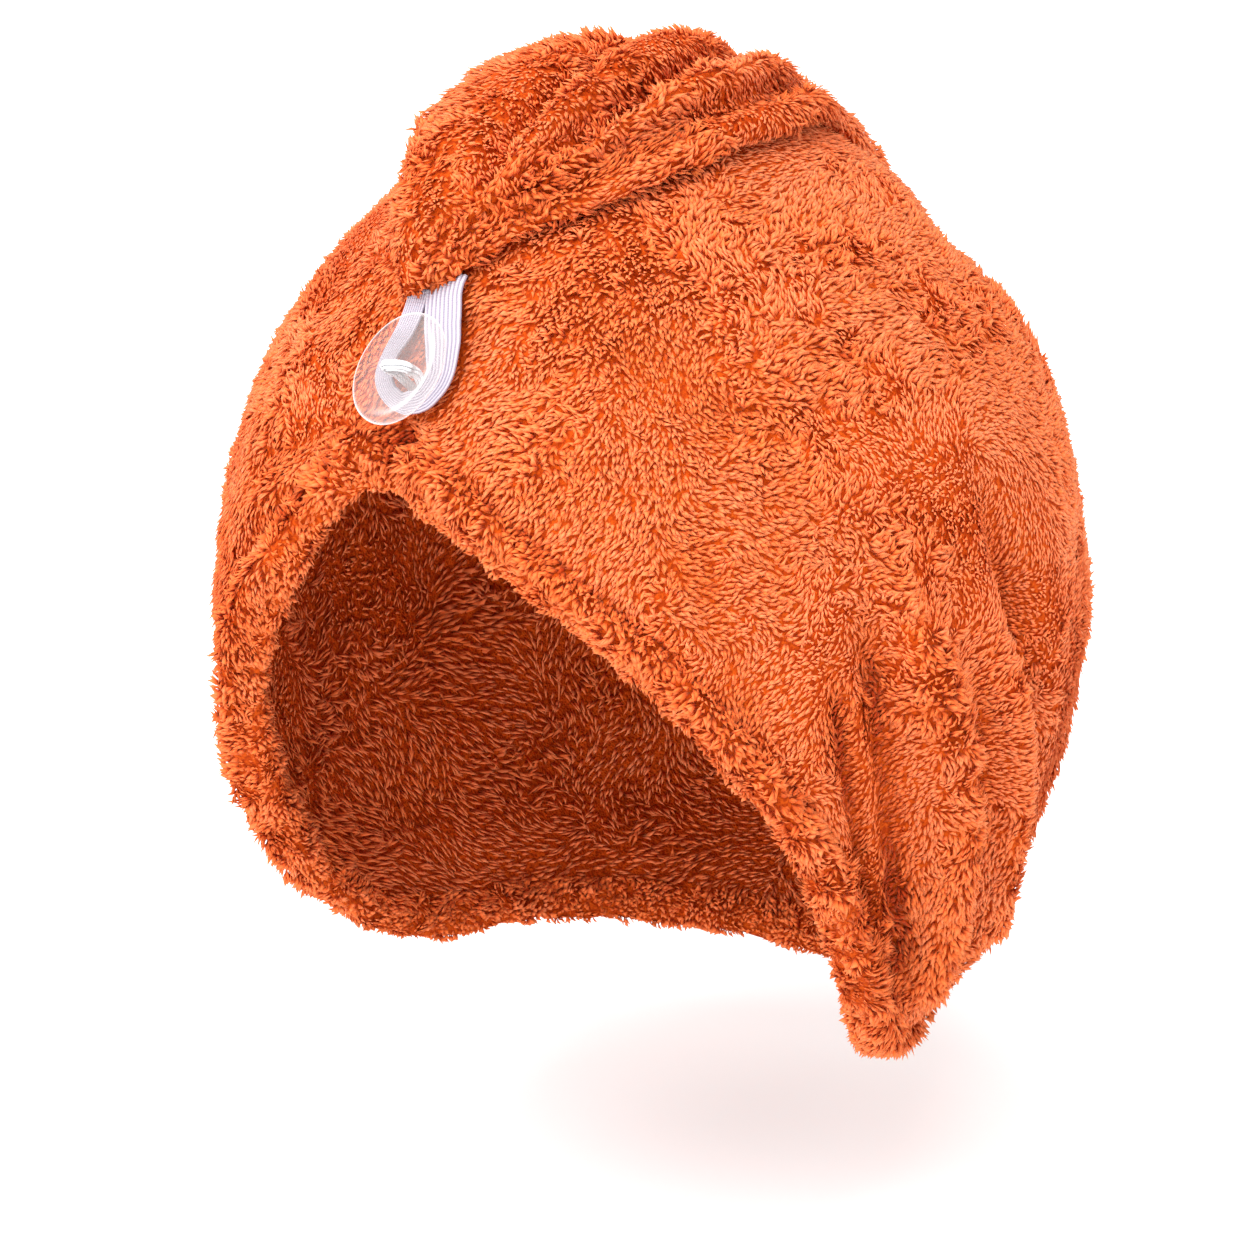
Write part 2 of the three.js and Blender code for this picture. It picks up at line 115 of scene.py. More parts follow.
# The hood's folds, as the CAD has them: height and width in mm, and a line of degrees round from the
# front to the wearer's left and degrees down from the crown. A fold starts from nothing at its first
# stop.
FOLDS = (
    ("dent under the button", -2.5, 13, ((3, 34), (3, 42), (3, 50))),
    ("centre seam", -4, 5, ((2, 48), (1, 57), (0, 66))),
    ("swell left of the seam", 2, 8, ((8, 48), (9, 56), (10, 66))),
    ("swell right of the seam", 2, 7, ((-6, 48), (-7, 55), (-8, 64))),
    ("temple crease", -3, 6, ((-34, 70), (-22, 62), (-14, 57), (-5, 54))),
    ("lower temple crease", -3, 6, ((-34, 84), (-26, 76), (-17, 69), (-8, 61))),
    ("forehead dent", -2, 12, ((30, 36), (45, 44), (56, 50))),
    ("cheek crease", -2, 7, ((44, 56), (50, 70), (54, 84))),
    ("foremost pleat valley", -3, 5, ((66, 76), (69, 94), (76, 118))),
    ("second pleat valley", -4.5, 5, ((70, 68), (74, 90), (84, 128))),
    ("main pleat", 4, 7, ((72, 60), (77, 76), (83, 90), (88, 108), (92, 130))),
    ("hindmost pleat valley", -3, 5, ((87, 82), (93, 104), (99, 134))),
    ("deep crease", -7.5, 5.5, ((95, 58), (101, 78), (107, 98), (113, 112))),
    ("lip of the deep crease", 3, 6, ((92, 76), (99, 100), (107, 128))),
    ("tuck under the tail", -4, 12, ((124, 34), (146, 43), (168, 46))),
    ("left outer nape gather", -4, 8, ((128, 92), (124, 114), (116, 145))),
    ("left inner nape gather", -3, 8, ((146, 96), (142, 120), (136, 145))),
    ("right inner nape gather", -3, 8, ((-149, 96), (-144, 120), (-138, 145))),
    ("right outer nape gather", -4, 9, ((-122, 90), (-120, 116), (-116, 145))),
    ("right pleat valley", -3.5, 11, ((-86, 62), (-92, 96), (-100, 140))),
    ("right pleat", 2.5, 11, ((-73, 66), (-78, 96), (-84, 130))),
    ("right cheek crease", -2.5, 11, ((-56, 66), (-61, 90), (-68, 112))),
)

# The share of its line over which a fold grows to its height
FOLD_FADE = 0.4

# A fold's bottom is a crease: a full one where the fold is narrow and deep enough, both in mm, and else
# a soft one. It takes up a share of the fold's width.
SHARP_WIDTH = 5.8
SHARP_DEPTH = 3
SOFT_CREASE = 0.35
CREASE_SHARE = 0.6

# The three valleys between the tail's four ridges, as the CAD has them: degrees back from the crown, mm to
# the wearer's left of each valley, and degrees more for each mm to the left
TAIL_ROWS = (
    (150, (-16, 0, 16), 0),
    (130, (-20, -2, 16), 0),
    (110, (-22, -5, 11), 0),
    (85, (-25, -10, 3), 0),
    (60, (-30, -16, -5), 0),
    (42, (-30, -16, -5), 0),
    (28, (-26, -11, 2), 0),
    (18, (-20, -4, 10), 0),
    (9, (-14, 4, 19), 0),
    (0, (-9, 9, 22), 0),
    (-10, (-3, 12, 22), 0),
    (-19, (0, 12, 19), 0.02),
    (-24, (2, 11, 17), 0.08),
    (-28.5, (3, 10, 14.5), 0.18),
    (-33.2, (1.5, 6.5, 10), 0.3),
    (-36, (0, 4, 7), 0.34),
    (-37.9, (0, 2, 3.5), 0.34),
)

# How far apart tufts grow. The lining's lie where the cloth looks outwards by less than INNER_SIDE.
HOOD_SPACING = 0.875 * MM
TAIL_SPACING = 0.94 * MM
LINING_SPACING = 1.46 * MM
INNER_SIDE = -0.25

# The room that a tuft needs before what lies over it, and how far up that is looked for
ROOM_UNDER_TAIL = 1.2 * MM
ROOM_OVER_HOOD = 0.6 * MM
ROOM_UNDER_BAND = 3 * MM
RAY_REACH = 60 * MM

# Scattering draws this many points on each square of one spacing, and keeps one in each cell of a grid:
# the cell's size in spacings, and the most cells each way
DRAWS = 5
CELL = 1.22
CELLS = 4000

# The most tufts in one piece
MOST_TUFTS = 49000

# A tuft's length, width and sideways bend, where it is widest as a share of its length, and how far its
# middle stands out as a share of its width
TUFT_LENGTH = 3.1 * MM
TUFT_WIDTH = 0.78 * MM
TUFT_BEND = 0.35 * MM
WIDEST = 0.6
CROWNING = 0.4

# The share of these in plain pile, what a full ruffle adds, and the least and the most by chance
PLAIN_LENGTH, RUFFLED_LENGTH, LENGTH_CHANCE = 0.95, 0.3, (0.8, 1.2)
PLAIN_WIDTH, RUFFLED_WIDTH, WIDTH_CHANCE = 0.92, 0.3, (0.8, 1.15)
PLAIN_BEND, RUFFLED_BEND = 0.6, 0.8

# The lining's tufts lie farther apart and are longer by this factor
LINING_LENGTH = 1.4

# A tuft's root behind its point, as a share of its length, and its depth in mm, less where it curls up
ROOT_BACK = 0.4
ROOT_DEPTH = 0.6
ROOT_CURL = 0.8

# Tufts are shorter at the rim: their share of length there, at the least, and what comes back over a
# stretch above it
RIM_LENGTH = 0.7
LEAST_LENGTH = 0.6
RIM_GROWTH = 0.3
RIM_STRETCH = 6 * MM

# How ruffled the pile is, from 0 to 1: its level and the size of its patches, their strength, and more on
# ridges and up to some widths above the hem
HOOD_RUFFLE = 0.3
HOOD_RUFFLE_SIZE = 17 * MM
TAIL_RUFFLE = 0.45
TAIL_RUFFLE_SIZE = 13 * MM
RUFFLE_SPREAD = 0.6
RIDGE_RUFFLE = 0.15
HEM_RUFFLE_REACH = 1.7

# The way that tufts are combed: size of the swirls in mm, their strength, and what a full ruffle adds.
# Tufts droop a little, and stand up where the combing is weak.
COMBING = ((24, 1.4, 0), (8, 0.4, 0.9), (2.4, 0.3, 1.6))
COMB_DROOP = -0.3
WEAK_COMB = 0.35

# A tuft's rise in degrees off the cloth: plain, and more when ruffled, uncombed, curled up and by chance.
# Curls change over CURL_SIZE.
RISE = 19
RISE_RUFFLED = 24
RISE_UNCOMBED = 20
RISE_CURLED = 30
RISE_CHANCE = 6
CURL_SIZE = 3.2 * MM

# A tuft's tone from 0, in a crease's painted shade, to 1, pale: plain, what patches and chance add as the
# cloth's own uneven tone, what curl adds as painted light and shade, paler where tufts lift and darker
# where they sink, what ruffles and creases take away as painted shade, and the change from one edge of a
# tuft to the other
TONE = 0.66
TONE_PATCH = 0.08
CURL_LIGHT_AND_SHADE = 0.25
RUFFLE_SHADE = 0.34
TONE_PLAIN_RUFFLE = 0.4
CREASE_SHADE = 0.75
TONE_CHANCE = 0.1
TONE_ENDS = (0.02, 0.98)
TONE_ACROSS = 0.01
PATCH_SIZE = 14 * MM

# Elastic loop: its middle line on the hood, as degrees back from the crown and mm to the wearer's left,
# its width in mm, and how far it is rolled onto its edge, in degrees
BAND = (
    (-35, 0.9, 9, 0),
    (-37.5, 1.6, 9, 0),
    (-40.5, 4.2, 9, 0),
    (-43.4, 7.6, 8, 6),
    (-46.4, 10.2, 6, 18),
    (-49.2, 9.2, 5.2, 22),
    (-50.4, 4.4, 4.8, 20),
    (-50, -0.8, 4.8, 16),
    (-48.2, -4.2, 4.4, 8),
    (-45.4, -4.7, 4, 4),
    (-42.6, -4.1, 4.6, 0),
    (-39.5, -4.4, 4.8, 0),
    (-35, -6, 4.8, 0),
)
BAND_GAP = 0.3 * MM
BAND_THICKNESS = 1.3 * MM
BAND_STATIONS = 110
BAND_RIBS = 9
RIB_STEPS = 4
RIB_DEPTH = 0.45
SELVEDGE_ROUNDING = 10

# Cross yarns along the loop's 68 mm, so they lie about 0.5 mm apart
BAND_YARNS = 130

# The width of the map on the cap of a skin, as a share of that of a ring
CAP_MAP = 0.01

# How far to each side of a place on the loop the hood's slope is read, in degrees along and in mm across
SLOPE_AHEAD = 1.5
SLOPE_ASIDE = 2.5

# Button: where its middle is, in degrees back from the crown, mm to the wearer's left and mm out of the
# hood, and the ways that its face looks and its two holes lie
BUTTON_SEAT = (-47.7, 3.2, 6.2)
BUTTON_FACING = (-0.17, -0.79, 0.59)
BUTTON_HOLE_LINE = (0.98, -0.1, 0.18)

# The button's turned profile, in mm about its own middle, from the middle of its back to that of its face
BUTTON_PROFILE = (
    (0, -1.5), (8.9, -1.5), (11.5, -1.12), (12.25, -0.45), (12.4, 0.38), (12.15, 1.2),
    (11.5, 1.5), (10.8, 1.46), (9.8, 1.08), (8.8, 0.8), (0, 0.8),
)
BUTTON_SIDES = 128
BUTTON_THICKNESS = 3
BUTTON_DISH = 0.7
BUTTON_EDGE = math.radians(40)
HOLE_RADIUS = 1.25
HOLE_SPACING = 6.4
HOLE_SIDES = 48
DRILL_REACH = 4

# Sewing thread: where its two ends enter the cloth, in degrees back from the crown and in mm
FEET_TURN = -48
FEET_ACROSS = 3
FEET_SPACING = 3.2
FEET_DEPTH = 2 * MM

# The thread's line through the button, in mm: below its back, above its face at a hole, and at its crest,
# which is a share of the way out to the hole
THREAD_BELOW = 0.6
THREAD_ABOVE = 0.5
THREAD_CREST = 1.1
CREST_SHARE = 0.45

# The strands round that line, with one in the middle, and the turns of twist in each
THREAD_STATIONS = 48
STRANDS = 8
STRAND_RADIUS = 0.32 * MM
STRAND_SIDES = 8
STRAND_TURNS = 60
BUNDLE_RADIUS = 0.72 * MM
BUNDLE_SWELL = 0.25
BUNDLE_TWIST = 0.35


def linear(hex_colour):
    """An sRGB hex colour as the linear RGBA that a shader takes."""
    parts = [int(hex_colour[start:start + 2], 16) / 255 for start in (1, 3, 5)]
    return [part / 12.92 if part <= 0.04045 else ((part + 0.055) / 1.055) ** 2.4 for part in parts] + [1]


def add_node(tree, kind, settings=(), inputs=()):
    """Adds one node: settings are its attributes, inputs its sockets' values or the sockets to link."""
    node = tree.nodes.new(kind)
    for name, value in dict(settings).items():
        setattr(node, name, value)
    for name, value in dict(inputs).items():
        if isinstance(value, bpy.types.NodeSocket):
            tree.links.new(value, node.inputs[name])
        else:
            node.inputs[name].default_value = value
    return node


def new_material(name):
    """A material with one Principled surface; returns it with its tree and that node."""
    material = bpy.data.materials.new(name)
    material.use_nodes = True
    tree = material.node_tree
    return material, tree, tree.nodes["Principled BSDF"]


def add_object(name, data):
    """A new object in the scene with this mesh, camera or light."""
    piece = bpy.data.objects.new(name, data)
    bpy.context.scene.collection.objects.link(piece)
    return piece


def finished_mesh(piece):
    """A piece's mesh with its modifiers applied."""
    return bpy.data.meshes.new_from_object(piece.evaluated_get(bpy.context.evaluated_depsgraph_get()))


def unit(vectors):
    return vectors / np.maximum(np.linalg.norm(vectors, axis=-1, keepdims=True), 1e-12)


def eased(share):
    """A share from 0 to 1 that starts and ends gently."""
    return share * share * (3 - 2 * share)


def smooth_noise(points, scale, seed, channels=1):
    """Smooth random values from -1 to 1 that change over about one scale, the same in every run."""
    size, shift = 48, 1000
    lattice = np.random.default_rng(seed).uniform(-1, 1, (size, size, size, channels))
    place = points / scale + shift
    corner = np.floor(place).astype(int)
    share = eased(place - corner)
    total = np.zeros((len(points), channels))
    for step in np.ndindex(2, 2, 2):
        weight = np.prod(np.where(np.array(step) == 1, share, 1 - share), axis=1)
        x, y, z = ((corner + step) % size).T
        total += weight[:, None] * lattice[x, y, z]
    return total


# Camera, floor and light


def camera_axes():
    """The camera's right, up and back directions."""
    back = Vector((math.cos(VIEW_RISE) * math.sin(VIEW_TURN),
                   -math.cos(VIEW_RISE) * math.cos(VIEW_TURN),
                   math.sin(VIEW_RISE)))
    right = Vector((math.cos(VIEW_TURN), math.sin(VIEW_TURN), 0))
    return right, back.cross(right), back


def place_camera():
    right, up, back = camera_axes()
    data = bpy.data.cameras.new("camera")
    data.lens = LENS
    data.sensor_width = SENSOR
    camera = add_object("camera", data)
    turn = Matrix((right, up, back)).transposed()
    camera.matrix_world = Matrix.Translation(VIEW_TARGET + back * VIEW_DISTANCE) @ turn.to_4x4()
    bpy.context.scene.camera = camera


def place_light(name, direction, spread, strength):
    """A far soft light towards the hood."""
    way = sum((axis * share for axis, share in zip(camera_axes(), direction)), Vector()).normalized()
    data = bpy.data.lights.new(name, "SUN")
    data.angle = math.radians(spread)
    data.energy = strength
    light = add_object(name, data)
    light.location = Vector(HOOD_CENTRE) + way
    light.rotation_euler = way.to_track_quat("Z", "Y").to_euler()


def light_studio():
    world = bpy.data.worlds.new("studio")
    world.use_nodes = True
    sky = world.node_tree.nodes["Background"]
    sky.inputs["Color"].default_value = (1, 1, 1, 1)
    sky.inputs["Strength"].default_value = STUDIO_STRENGTH
    bpy.context.scene.world = world
    bpy.context.scene.view_settings.view_transform = "Standard"
    for light in LIGHTS:
        place_light(*light)


def studio_paper():
    """Matt white studio paper: an even pale ground with no gloss."""
    material, _, surface = new_material("studio_paper")
    surface.inputs["Base Color"].default_value = linear("#F7F7F7")
    surface.inputs["Roughness"].default_value = 0.9
    surface.inputs["Specular IOR Level"].default_value = 0.1
    return material


def lay_floor():
    mesh = bpy.data.meshes.new("floor")
    corners = [(x * FLOOR_HALF, y * FLOOR_HALF, FLOOR_HEIGHT)
               for x, y in ((-1, -1), (1, -1), (1, 1), (-1, 1))]
    mesh.from_pydata(corners, [], [(0, 1, 2, 3)])
    mesh.materials.append(studio_paper())
    add_object("floor", mesh)


# Places on the hood


def heading(azimuth, polar):
    """The direction from the hood's centre at degrees round from the front and down from the crown."""
    round_way, down = math.radians(azimuth), math.radians(polar)
    return math.sin(down) * math.sin(round_way), -math.sin(down) * math.cos(round_way), math.cos(down)


def hood_way(turn, across):
    """The direction from the hood's centre at degrees back from the crown and mm to the wearer's left."""
    back, aside = math.radians(turn), across * MM / MEAN_RADIUS
    return math.sin(aside), math.sin(back) * math.cos(aside), math.cos(back) * math.cos(aside)


def read_rows(rows, at):
    """The values of a table between two rows, on a smooth curve through its rows."""
    at = min(max(at, 0), len(rows) - 1.000001)
    index = int(at)
    share = at - index
    near = [min(max(index + step, 0), len(rows) - 1) for step in (-1, 0, 1, 2)]
    before, start, end, after = [np.array(rows[row]) for row in near]
    return start + 0.5 * share * (
        end - before + share * (2 * before - 5 * start + 4 * end - after
                                + share * (3 * (start - end) + after - before)))


def line_distance(ways, stops):
    """How far in mm each direction is from a line on the hood, and how far along it, from 0 to 1."""
    stops = np.array(stops)
    away, along = np.full(len(ways), np.inf), np.zeros(len(ways))
    for index, (start, end) in enumerate(zip(stops[:-1], stops[1:])):
        step = end - start
        share = np.clip((ways - start) @ step / (step @ step), 0, 1)
        foot = unit(start + share[:, None] * step)
        gap = MEAN_RADIUS * np.arccos(np.clip(np.sum(ways * foot, axis=1), -1, 1)) / MM
        along = np.where(gap < away, (index + share) / (len(stops) - 1), along)
        away = np.minimum(gap, away)
    return away, along


def hem_at(places):
    """How far each place lies above the hem, and the way straight up from the hem along the cloth."""
    ways = unit(places - HOOD_CENTRE)
    stops = [np.array(heading(*read_rows(HEM, at)))
             for at in np.linspace(0, len(HEM) - 1, HEM_STOPS + 1)]
    away, up = np.full(len(ways), np.inf), np.zeros((len(ways), 3))
    for start, end in zip(stops[:-1], stops[1:]):
        step = end - start
        share = np.clip((ways - start) @ step / (step @ step), 0, 1)
        foot = unit(start + share[:, None] * step)
        aside = unit(np.cross(foot, step))
        gap = ways - foot
        distance = np.linalg.norm(gap, axis=1) * MEAN_RADIUS
        closer = distance < np.abs(away)
        side = np.where(np.sum(gap * aside, axis=1) < 0, -1, 1)
        away = np.where(closer, distance * side, away)
        up = np.where(closer[:, None], aside, up)
    return away, up


def folds_at(places):
    """The folds' height in mm at each place on the hood, and how near it lies to a crease, 0 to 1."""
    ways = unit(places - HOOD_CENTRE)
    height, crease = np.zeros((2, len(ways)))
    for _, rise, width, line in FOLDS:
        away, along = line_distance(ways, [heading(*stop) for stop in line])
        fade = eased(np.clip(along / FOLD_FADE, 0, 1))
        height += rise * fade * np.exp(-(away / width) ** 2)
        if rise < 0:
            sharpness = min(-rise / SHARP_DEPTH, 1) if width < SHARP_WIDTH else SOFT_CREASE
            crease = np.maximum(crease, sharpness * fade * np.exp(-(away / (CREASE_SHARE * width)) ** 2))
    return height, crease


def tail_crease(places):
    """How near the bottom of one of the tail's valleys each place lies, from 0 to 1."""
    ways = unit(places - HOOD_CENTRE)
    crease = np.zeros(len(ways))
    stops = np.linspace(0, 1, len(TAIL_ROWS))
    widths = [min(TAIL_CREASE_SHARE * (valleys[2] - valleys[0]), TAIL_CREASE_WIDTH)
              for _, valleys, _ in TAIL_ROWS]
    for valley in range(3):
        line = [hood_way(turn + slant * valleys[valley], valleys[valley])
                for turn, valleys, slant in TAIL_ROWS]
        away, along = line_distance(ways, line)
        width = np.interp(along, stops, widths)
        crease = np.maximum(crease, np.exp(-(away / width) ** 2) * (width / TAIL_CREASE_WIDTH) ** 0.5)
    return crease


# Cloth


def arrays_of(mesh):
    """A mesh's vertex places, vertex normals and triangles as arrays."""
    mesh.calc_loop_triangles()
    places = np.empty(len(mesh.vertices) * 3)
    mesh.vertices.foreach_get("co", places)
    normals = np.empty(len(mesh.vertices) * 3)
    mesh.vertices.foreach_get("normal", normals)
    triangles = np.empty(len(mesh.loop_triangles) * 3, int)
    mesh.loop_triangles.foreach_get("vertices", triangles)
    return places.reshape(-1, 3), normals.reshape(-1, 3), triangles.reshape(-1, 3)


def tree_of(name):
    """A CAD node's surface, for measuring distances to it."""
    places, _, triangles = arrays_of(NODES[name].data)
    return BVHTree.FromPolygons(places.tolist(), triangles.tolist())


def rounded_copy(node, name, voxel):
    """A new mesh object with the node's form, evenly meshed and with its facets smoothed."""
    piece = add_object(name, NODES[node].data.copy())
    piece.data.materials.clear()
    remesh = piece.modifiers.new("even", "REMESH")
    remesh.mode = "VOXEL"
    remesh.voxel_size = voxel
    soft = piece.modifiers.new("soft", "SMOOTH")
    soft.factor = 0.5
    soft.iterations = SMOOTHING
    mesh = finished_mesh(piece)
    piece.modifiers.clear()
    piece.data = mesh
    mesh.name = name
    mesh.shade_smooth()
    return piece


def outward_share(places, normals):
    """1 where the cloth looks away from the hood's centre, -1 where it looks at it."""
    return np.sum(unit(places - HOOD_CENTRE) * normals, axis=1)


def outer_face(places, normals):
    """1 on the cloth's outer face and 0 on its inner face, with a short change at a rim."""
    return np.clip(outward_share(places, normals) * 2, 0, 1)


def raise_cloth(piece, rise, shift=0):
    """Moves the cloth along its normals and by a shift, and gives it the lumps of a soft towel."""
    places, normals, _ = arrays_of(piece.data)
    lumps = sum(height * smooth_noise(places, size * MM, seed)[:, 0] for height, size, seed in LUMPS)
    places = places + normals * (rise + lumps * MM)[:, None] + shift
    piece.data.vertices.foreach_set("co", places.ravel())
    piece.data.update()


def finish_cloth(piece, node, ground):
    piece.data.materials.append(ground)
    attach(piece, "root")
    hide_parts(node)


def make_hood_cloth(ground):
    """The hood's ground cloth, with what its pile needs to know of each vertex."""
    hood = rounded_copy("hood", "hood_cloth", HOOD_VOXEL)
    places, normals, _ = arrays_of(hood.data)
    outward = outer_face(places, normals)
    height, crease = folds_at(places)
    ridge = np.maximum(height, 0)
    away, up = hem_at(places)
    crease *= np.clip(away / RIM, 0, 1)
    above_hem = np.clip(away / HEM_WIDTH - 0.5, 0, 1)
    valley = np.exp(-((away - HEM_VALLEY) / HEM_VALLEY_WIDTH) ** 2)
    rise = -PILE_HEIGHT * outward - LINING_PILE_HEIGHT * (1 - outward)
    rise += RIDGE_LIFT * ridge * MM * above_hem * outward
    rise -= CREASE_CUT * crease * (2 * outward - 1)
    rise += HEM_PUFF * np.sin(math.pi * np.clip(away / HEM_WIDTH, 0, 1)) * outward * (1 - crease)
    rise -= HEM_CUT * valley * outward * (1 - crease)
    draw = eased(np.clip(1 - away / (2 * HEM_WIDTH), 0, 1))
    draw *= np.clip(HEM_DRAW_MIDDLE + places[:, 0] / HEM_DRAW_EASE, HEM_DRAW_LEAST, 1)
    raise_cloth(hood, rise, up * HEM_DRAW * draw[:, None])
    finish_cloth(hood, "hood", ground)
    # The third value is how much painted shade darkens the pile: in creases and in the hem's valley
    return hood.data, np.stack((away, ridge, np.maximum(crease, HEM_VALLEY_SHADE * valley)), axis=1)


def make_tail_cloth(ground):
    """The tail's ground cloth, with how far each vertex looks outwards."""
    tail = rounded_copy("tail", "tail_cloth", TAIL_VOXEL)
    places, normals, _ = arrays_of(tail.data)
    outward = outer_face(places, normals)
    crease = tail_crease(places)
    raise_cloth(tail, (TAIL_PUFF * (1 - crease) - TAIL_CUT * crease) * outward - PILE_HEIGHT)
    finish_cloth(tail, "tail", ground)
    return tail.data, outward[:, None]


# Pile


def scatter(mesh, spacing, values, seed):
    """Points over a mesh about one spacing apart, with the normal and the vertices' values at each."""
    places, normals, triangles = arrays_of(mesh)
    corners = places[triangles]
    areas = np.linalg.norm(
        np.cross(corners[:, 1] - corners[:, 0], corners[:, 2] - corners[:, 0]), axis=1) / 2
    draws = np.random.default_rng(seed)
    count = int(DRAWS * areas.sum() / spacing ** 2)
    chosen = draws.choice(len(triangles), count, p=areas / areas.sum())
    second, third = draws.random((2, count, 1))
    over = second + third > 1
    second, third = np.where(over, 1 - second, second), np.where(over, 1 - third, third)
    shares = np.stack((1 - second - third, second, third), axis=1)
    points = np.sum(corners[chosen] * shares, axis=1)
    ups = unit(np.sum(normals[triangles[chosen]] * shares, axis=1))
    values = np.sum(values[triangles[chosen]] * shares, axis=1)
    cell = np.floor(points / (spacing * CELL)).astype(int) + CELLS // 4
    key = (cell[:, 0] * CELLS + cell[:, 1]) * CELLS + cell[:, 2]
    _, first = np.unique(key, return_index=True)
    first.sort()
    return points[first], ups[first], values[first].T


def uncovered(points, ups, nodes, room):
    """Which points have at least some room above them before the first of the nodes, and lie in none."""
    trees = [tree_of(node) for node in nodes]
    keep = np.ones(len(points), bool)
    for index, (point, up) in enumerate(zip(points.tolist(), ups.tolist())):
        for tree in trees:
            place, normal, _, distance = tree.ray_cast(point, up, RAY_REACH)
            if place is not None and (distance < room or normal.dot(Vector(up)) > 0):
                keep[index] = False
    return keep


def ruffle_at(points, level, size, seed):
    """How ruffled the pile is at each point, about a level, in patches of a size."""
    return level + RUFFLE_SPREAD * smooth_noise(points, size, seed)[:, 0]


def comb(points, ups, ruffle, seed):
    """The way that each tuft lies, and how firmly: in wide swirls that break up where ruffled."""
    way = np.zeros((len(points), 3))
    for step, (size, strength, more) in enumerate(COMBING):
        way += smooth_noise(points, size * MM, seed + step, 3) * (strength + more * ruffle[:, None])
    way += np.array((0, 0, COMB_DROOP))
    flat = way - ups * np.sum(way * ups, axis=1, keepdims=True)
    return unit(flat), np.linalg.norm(flat, axis=1)


def tuft_mesh(name, roots, tips, ups, widths, bends, tones_and_shade):
    """Closed four-sided slivers, one a tuft, in one mesh: a root, a left and right edge, and a tip.

    A tuft's middle lies aside of its straight line by its bend.
    """
    along = unit(tips - roots)
    ups = unit(ups - along * np.sum(ups * along, axis=1, keepdims=True))
    aside = np.cross(along, ups)
    half = aside * widths[:, None] / 2
    middles = roots + (tips - roots) * WIDEST + ups * widths[:, None] * CROWNING + aside * bends[:, None]
    places = np.stack((roots, middles - half, middles + half, tips), axis=1)
    sliver = np.array(((0, 2, 1), (3, 1, 2), (0, 1, 3), (0, 3, 2)))
    faces = (np.arange(len(roots))[:, None, None] * 4 + sliver).reshape(-1)
    mesh = bpy.data.meshes.new(name)
    mesh.vertices.add(len(roots) * 4)
    mesh.vertices.foreach_set("co", places.ravel())
    mesh.loops.add(len(faces))
    mesh.loops.foreach_set("vertex_index", faces)
    mesh.polygons.add(len(roots) * 4)
    mesh.polygons.foreach_set("loop_start", np.arange(0, len(faces), 3))
    mesh.update(calc_edges=True)
    mesh.shade_smooth()
    # The map's first value is each tuft's tone, painted shade included; its second, the height from root
    # to tip, sets the material's painted shade at the root
    across = np.array((0, -TONE_ACROSS, TONE_ACROSS, 0))
    up = np.array((0, WIDEST, WIDEST, 1))
    tone_shade_and_height = np.stack(np.broadcast_arrays(tones_and_shade[:, None] + across, up), axis=2).reshape(-1, 2)
    layer = mesh.uv_layers.new(name="OFBake")
    layer.data.foreach_set("uv", tone_shade_and_height[faces].ravel())
    return mesh


def grow_pile(name, points, ups, ruffle, crease, length_scale, material, seed):
    """Grows one tuft at each point, in pieces of at most MOST_TUFTS. crease is 1 in a full crease's
    painted shade.
    """
    draws = np.random.default_rng(seed)
    count = len(points)
    way, firmness = comb(points, ups, ruffle, seed + 10)
    uncombed = np.exp(-(firmness / WEAK_COMB) ** 2)
    curl = smooth_noise(points, CURL_SIZE, seed + 15)[:, 0] * ruffle
    rise = RISE + RISE_RUFFLED * ruffle + RISE_UNCOMBED * uncombed + RISE_CURLED * curl
    rise = np.radians(rise + RISE_CHANCE * draws.normal(size=count))[:, None]
    length = TUFT_LENGTH * length_scale * (PLAIN_LENGTH + RUFFLED_LENGTH * ruffle)
    length = (length * draws.uniform(*LENGTH_CHANCE, count))[:, None]
    width = TUFT_WIDTH * (PLAIN_WIDTH + RUFFLED_WIDTH * ruffle) * draws.uniform(*WIDTH_CHANCE, count)
    bend = TUFT_BEND * (PLAIN_BEND + RUFFLED_BEND * ruffle) * draws.normal(size=count)
    depth = (ROOT_DEPTH - ROOT_CURL * curl[:, None]) * MM
    roots = points - way * np.cos(rise) * length * ROOT_BACK - ups * depth
    tips = roots + length * (way * np.cos(rise) + ups * np.sin(rise))
    patches = smooth_noise(points, PATCH_SIZE, seed + 20)[:, 0]
    # Patches and chance are the cloth's own uneven tone; curl makes lifted tufts paler and sunk ones
    # darker as painted light and shade; ruffles and creases darken tufts as painted shade
    tones_and_shade = TONE + TONE_PATCH * patches + CURL_LIGHT_AND_SHADE * curl - RUFFLE_SHADE * (ruffle - TONE_PLAIN_RUFFLE)
    tones_and_shade = np.clip(tones_and_shade - CREASE_SHADE * crease + TONE_CHANCE * draws.normal(size=count), *TONE_ENDS)
    turn = np.arctan2(points[:, 1], points[:, 0])
    for number, some in enumerate(np.array_split(np.argsort(turn), -(-count // MOST_TUFTS))):
        of_some = [values[some] for values in (roots, tips, ups, width, bend, tones_and_shade)]
        mesh = tuft_mesh(f"{name}_{number + 1}", *of_some)
        add_piece(mesh.name, mesh, material, None)


